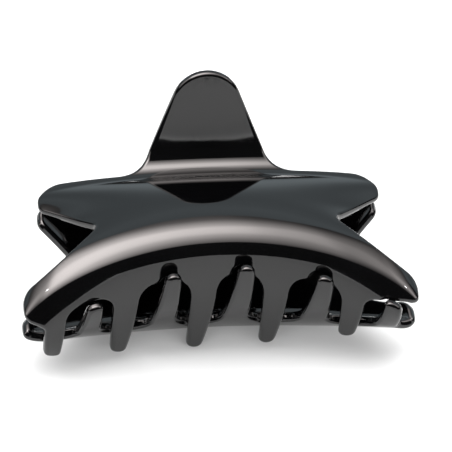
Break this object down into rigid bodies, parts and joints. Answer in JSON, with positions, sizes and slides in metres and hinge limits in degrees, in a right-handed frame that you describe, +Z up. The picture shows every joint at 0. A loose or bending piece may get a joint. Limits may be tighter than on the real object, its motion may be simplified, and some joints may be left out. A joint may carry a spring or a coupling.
{
  "type": "claw clip",
  "caption": "Claw hair clip, closed: bow-shaped jaws with interlocking curved teeth and finger tabs, turning on a steel pin and shut by a torsion spring.",
  "frame": {"origin": "bottom centre of the closed clip's box, with the clip lying on its back jaw", "axes": "+X along the clip, -Y towards the teeth, +Y towards the finger tabs, +Z up"},
  "size_m": [0.0902, 0.062, 0.0501],
  "materials": {
    "jaw_plastic": "high gloss, moulded in black",
    "pin_steel": "drawn steel rod",
    "spring_steel": "drawn spring wire"
  },
  "bodies": {
    "rear_jaw": {"rear_jaw": "jaw_plastic", "hinge_pin": "pin_steel", "torsion_spring": "spring_steel"},
    "front_jaw": {"front_jaw": "jaw_plastic"}
  },
  "joints": [
    {"name": "jaw_hinge", "type": "hinge", "parent": "rear_jaw", "child": "front_jaw", "pos_m": [0, 0.01257, 0.02259], "axis": [-1, 0, 0], "range_deg": [0, 80], "stiffness_Nm_per_rad": 0.15, "springref_deg": -38.39, "deforming": ["torsion_spring"]}
  ]
}
